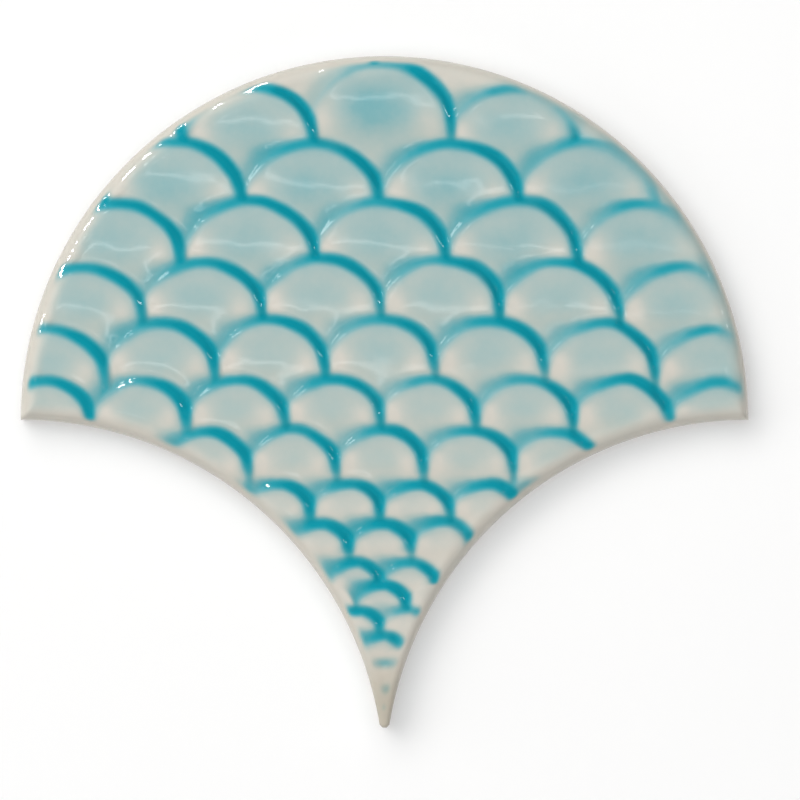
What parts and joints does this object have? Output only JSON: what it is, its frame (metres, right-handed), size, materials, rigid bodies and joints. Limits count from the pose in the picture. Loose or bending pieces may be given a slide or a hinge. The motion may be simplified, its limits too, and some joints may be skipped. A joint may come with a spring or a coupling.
{
  "type": "fish scale tile",
  "caption": "Fan-shaped wall tile with a round head, hollow flanks and a narrow tip; its glossy glazed face is carved in overlapping scales.",
  "frame": {"origin": "centre of the round head's circle, on the flat back face", "axes": "+X to the right seen from the glazed side, +Y from the narrow tip towards the round head, +Z out of the glazed face"},
  "size_m": [0.14, 0.1291, 0.0095],
  "materials": {
    "glaze": "glossy pale blue-green glaze, thin and creamy on raised edges and pooled deep teal in the grooves"
  },
  "bodies": {
    "root": {"fish_scale_tile": "glaze"}
  },
  "joints": []
}
